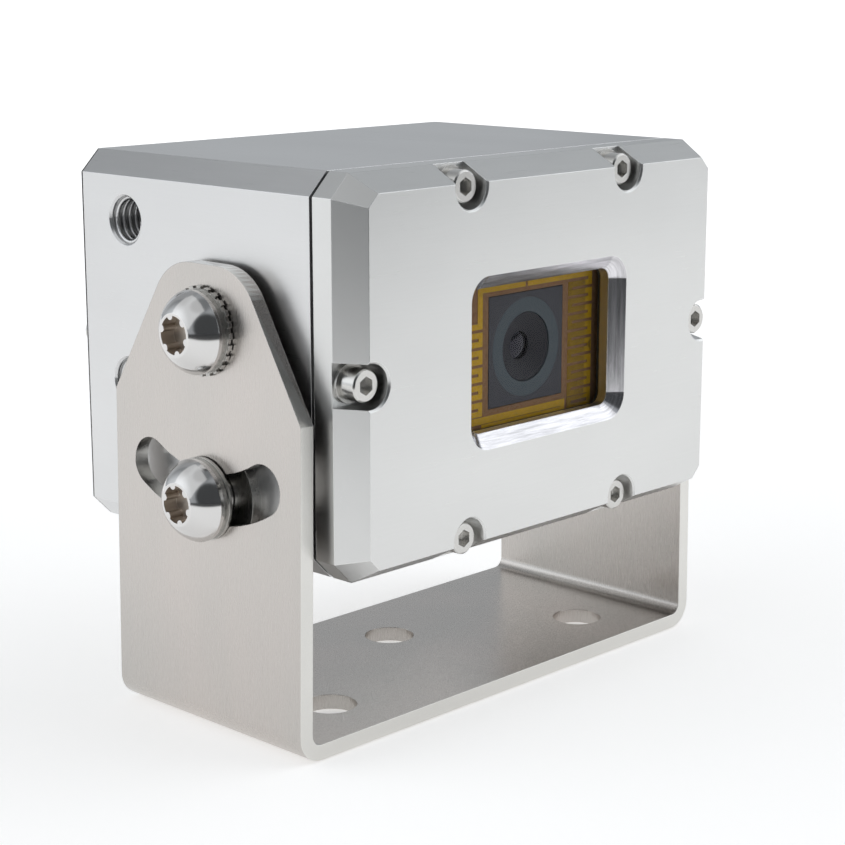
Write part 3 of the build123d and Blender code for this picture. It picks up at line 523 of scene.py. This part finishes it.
thread_starts = [(x, HOLE_Y, z) for x in RIDGE_STARTS_X for z in HOLE_HEIGHTS]
threads = [ridge]
for number in range(2, len(thread_starts) + 1):
    pick(ridge)
    bpy.ops.object.duplicate(linked=False)
    twin = bpy.context.active_object
    twin.name = f"side_thread_{number}"
    threads.append(twin)
for thread, start in zip(threads, thread_starts):
    pick(thread)
    bpy.ops.object.mode_set(mode="EDIT")
    bpy.ops.mesh.select_all(action="SELECT")
    bpy.ops.transform.translate(value=start)
    bpy.ops.object.mode_set(mode="OBJECT")
    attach(thread, "camera")
print("threads:", len(threads))

# %% [markdown]
# Behind the front ring of the barrel a black cone leads the eye to the small clear middle of the lens.
# It keeps stray light out of a real lens. An open cone is added, turned to face the front, and given
# a thin wall by the Solidify modifier.

# %% Black cone in the lens barrel
CONE_MOUTH_R = 0.0045
CONE_THROAT_R = 0.0019
CONE_DEPTH = 0.0011
CONE_MIDDLE_Y = -0.0184
CONE_WALL = 0.00008
CONE_SIDES = 96
FACE_FRONT = math.radians(90.0)
SHARP_ANGLE = math.radians(30.0)
bpy.ops.object.select_all(action="DESELECT")
bpy.ops.mesh.primitive_cone_add(
    vertices=CONE_SIDES, radius1=CONE_THROAT_R, radius2=CONE_MOUTH_R, depth=CONE_DEPTH,
    end_fill_type="NOTHING", location=(0.0, CONE_MIDDLE_Y, WINDOW_Z),
    rotation=(FACE_FRONT, 0.0, 0.0),
)
cone = bpy.context.active_object
cone.name = "lens_cone"
bpy.ops.object.transform_apply(location=True, rotation=True, scale=True)
wall = cone.modifiers.new("wall", "SOLIDIFY")
wall.thickness = CONE_WALL
bpy.ops.object.modifier_apply(modifier="wall")
bpy.ops.object.shade_smooth_by_angle(angle=SHARP_ANGLE)
cone.data.materials.append(grainy("lens_black", (0.03, 0.027, 0.036), 0.5, 0.0002, shine=0.15))
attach(cone, "camera")
print("cone faces:", len(cone.data.polygons))

# %% [markdown]
# The tracks of the window heater are printed, and the print spreads a little past its drawn line. A copy
# of the CAD tracks is merged first. Every track runs square to the window's sides, so each corner is
# pushed out along the walls that meet in it, and the tracks grow in width but not in thickness.

# %% Printed tracks of the heater
PRINT_SPREAD = 0.00007
MERGE_DISTANCE = 0.000001
prints = bpy.data.objects.new("printed_tracks", nodes["heater_conductor"].data.copy())
bpy.context.scene.collection.objects.link(prints)
pick(prints)
bpy.ops.object.mode_set(mode="EDIT")
bpy.ops.mesh.select_all(action="SELECT")
bpy.ops.mesh.remove_doubles(threshold=MERGE_DISTANCE)
bpy.ops.object.mode_set(mode="OBJECT")
walls_at = [set() for corner in prints.data.vertices]
for face in prints.data.polygons:
    wall = tuple(round(part) for part in face.normal)
    for corner in face.vertices:
        walls_at[corner].add(wall)
for corner, walls in zip(prints.data.vertices, walls_at):
    corner.co.x += PRINT_SPREAD * sum(wall[0] for wall in walls)
    corner.co.z += PRINT_SPREAD * sum(wall[2] for wall in walls)
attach(prints, "camera")
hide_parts("heater_conductor")
print("printed tracks:", len(prints.data.vertices), "corners")

# %% [markdown]
# The object stands on a pale floor without an edge in sight. The floor glows a little towards the
# camera and into reflections, which makes it white, and still takes the soft shadow of the bracket.
# The glow that the camera sees grows with the distance, until the floor meets the white room. In
# reflections the floor is painted dark on the camera's side, a painted dark reflection for the metal,
# and a little brighter behind the object and at its right.

# %% Floor
FLOOR_SIZE = 40.0
FLOOR_DROP = 0.0002
FLOOR_PALE = 0.8
FLOOR_DARK = 0.12
FLOOR_ROUGHNESS = 0.9
FLOOR_GLOW_COLOR = (1.0, 0.992, 0.98, 1.0)
GLOW_MIRRORED = 0.5
GLOW_SEEN_NEAR = 0.5
GLOW_SEEN_FAR = 0.9
GLOW_GROWS_FROM = 0.1
GLOW_GROWS_TO = 1.0


def towards(tree, place, direction, start, full, amount):
    """Share that grows from 0 to an amount as a place, or a look, goes further in a direction."""
    out = add(tree, "ShaderNodeVectorMath", operation="DOT_PRODUCT")
    out.inputs[1].default_value = Vector(direction).normalized()
    join(tree, place, out.inputs[0])
    return ramp(tree, out.outputs["Value"], start, full, 0.0, amount, "SMOOTHSTEP")


bpy.ops.object.select_all(action="DESELECT")
bpy.ops.mesh.primitive_plane_add(size=FLOOR_SIZE, location=(0.0, 0.0, -FLOOR_DROP))
floor = bpy.context.active_object
floor.name = "studio_floor"
floor_color = (FLOOR_PALE, FLOOR_PALE, FLOOR_PALE)
floor_paint, tree, shader = new_finish("floor_paint", floor_color, FLOOR_ROUGHNESS)
shader.inputs["Specular IOR Level"].default_value = 0.0
rays = add(tree, "ShaderNodeLightPath")
mirrored = rays.outputs["Is Glossy Ray"]
spot = add(tree, "ShaderNodeTexCoord").outputs["Object"]

# Painted dark reflection: on the camera's side the floor turns dark for glossy rays only.
dark_in_reflections = towards(tree, spot, (-0.5, -0.87, 0.0), start=0.185, full=0.24, amount=1.0)
dark = work_out(tree, "MULTIPLY", mirrored, dark_in_reflections)
join(tree, ramp(tree, dark, 0.0, 1.0, FLOOR_PALE, FLOOR_DARK), shader.inputs["Base Color"])

behind = towards(tree, spot, (-0.7, 0.7, 0.0), start=0.0, full=0.2, amount=0.07)
at_right = towards(tree, spot, (0.74, -0.67, 0.0), start=0.0, full=0.15, amount=0.06)
mirrored_level = work_out(tree, "ADD", work_out(tree, "ADD", behind, at_right), GLOW_MIRRORED)
not_dark = work_out(tree, "SUBTRACT", mirrored, dark)
glow_mirrored = work_out(tree, "MULTIPLY", not_dark, mirrored_level)
away = add(tree, "ShaderNodeVectorMath", operation="LENGTH")
join(tree, spot, away.inputs[0])
glow_seen = ramp(
    tree, away.outputs["Value"], GLOW_GROWS_FROM, GLOW_GROWS_TO, GLOW_SEEN_NEAR, GLOW_SEEN_FAR
)
glow = work_out(tree, "MULTIPLY_ADD", rays.outputs["Is Camera Ray"], glow_seen, glow_mirrored)
shader.inputs["Emission Color"].default_value = FLOOR_GLOW_COLOR
join(tree, glow, shader.inputs["Emission Strength"])
floor.data.materials.append(floor_paint)
print("floor ready:", len(tree.nodes), "shader nodes")

# %% [markdown]
# The world is the studio's room. The camera sees it white. Metal sees a grey room with large soft
# lights at the front right and the rear left and a smaller one high at the right. The side where the
# camera stands is dim, and so are the parts high behind the object and overhead. Each part is a
# direction, the two bounds between which its share grows, and its brightness.

# %% Room light
ROOM_LEVEL = 0.4
ROOM_COLOR = (0.95, 1.0, 1.05)
ROOM_SEEN = (1.0, 1.0, 1.0)
ROOM_PARTS = {
    "front right light": ((0.75, -0.6, 0.0), 0.55, 0.9, 0.47),
    "rear left light": ((-0.75, 0.65, -0.05), 0.55, 0.9, 0.54),
    "high right light": ((0.72, -0.35, 0.6), 0.8, 0.95, 0.15),
    "dim side of the camera": ((-0.55, -0.78, 0.3), 0.78, 0.88, -0.33),
    "dim part high behind": ((-0.12, 0.75, 0.63), 0.85, 0.97, -0.12),
    "dim part overhead": ((-0.28, -0.09, 0.95), 0.9, 0.97, -0.18),
}
world = bpy.data.worlds.new("studio_room")
bpy.context.scene.world = world
world.use_nodes = True
tree = world.node_tree
room = tree.nodes["Background"]
room.inputs["Strength"].default_value = 1.0
facing = add(tree, "ShaderNodeTexCoord").outputs["Generated"]
rays = add(tree, "ShaderNodeLightPath")
level = ROOM_LEVEL
for title, (direction, start, full, brightness) in ROOM_PARTS.items():
    level = work_out(tree, "ADD", towards(tree, facing, direction, start, full, brightness), level)
    print(title, brightness)
room_mirrored = scaled(tree, ROOM_COLOR, level)
room_light = mixed(tree, rays.outputs["Is Camera Ray"], room_mirrored, ROOM_SEEN)
join(tree, room_light, room.inputs["Color"])

# %% [markdown]
# Three soft boxes light what the room leaves flat. The key box stands high at the front right, the fill
# box high at the left, and a weak one behind. All are large, so the shadow under the bracket is soft.

# %% Soft boxes
LAMPS_FACE = Vector((0.0, 0.0, 0.04))


def soft_box(name, place, size, power):
    """Square area lamp at a place, turned to face the camera block, with its power in watts."""
    lamp = bpy.data.lights.new(name, "AREA")
    lamp.size = size
    lamp.energy = power
    box = bpy.data.objects.new(name, lamp)
    box.location = place
    box.rotation_euler = (LAMPS_FACE - Vector(place)).to_track_quat("-Z", "Y").to_euler()
    bpy.context.scene.collection.objects.link(box)
    print(name, power, "W")


soft_box("key_box", place=(0.45, -0.3, 0.5), size=0.8, power=1.1)
soft_box("fill_box", place=(-0.5, 0.2, 0.55), size=1.0, power=1.3)
soft_box("rear_box", place=(0.3, 0.6, 0.45), size=0.8, power=0.2)
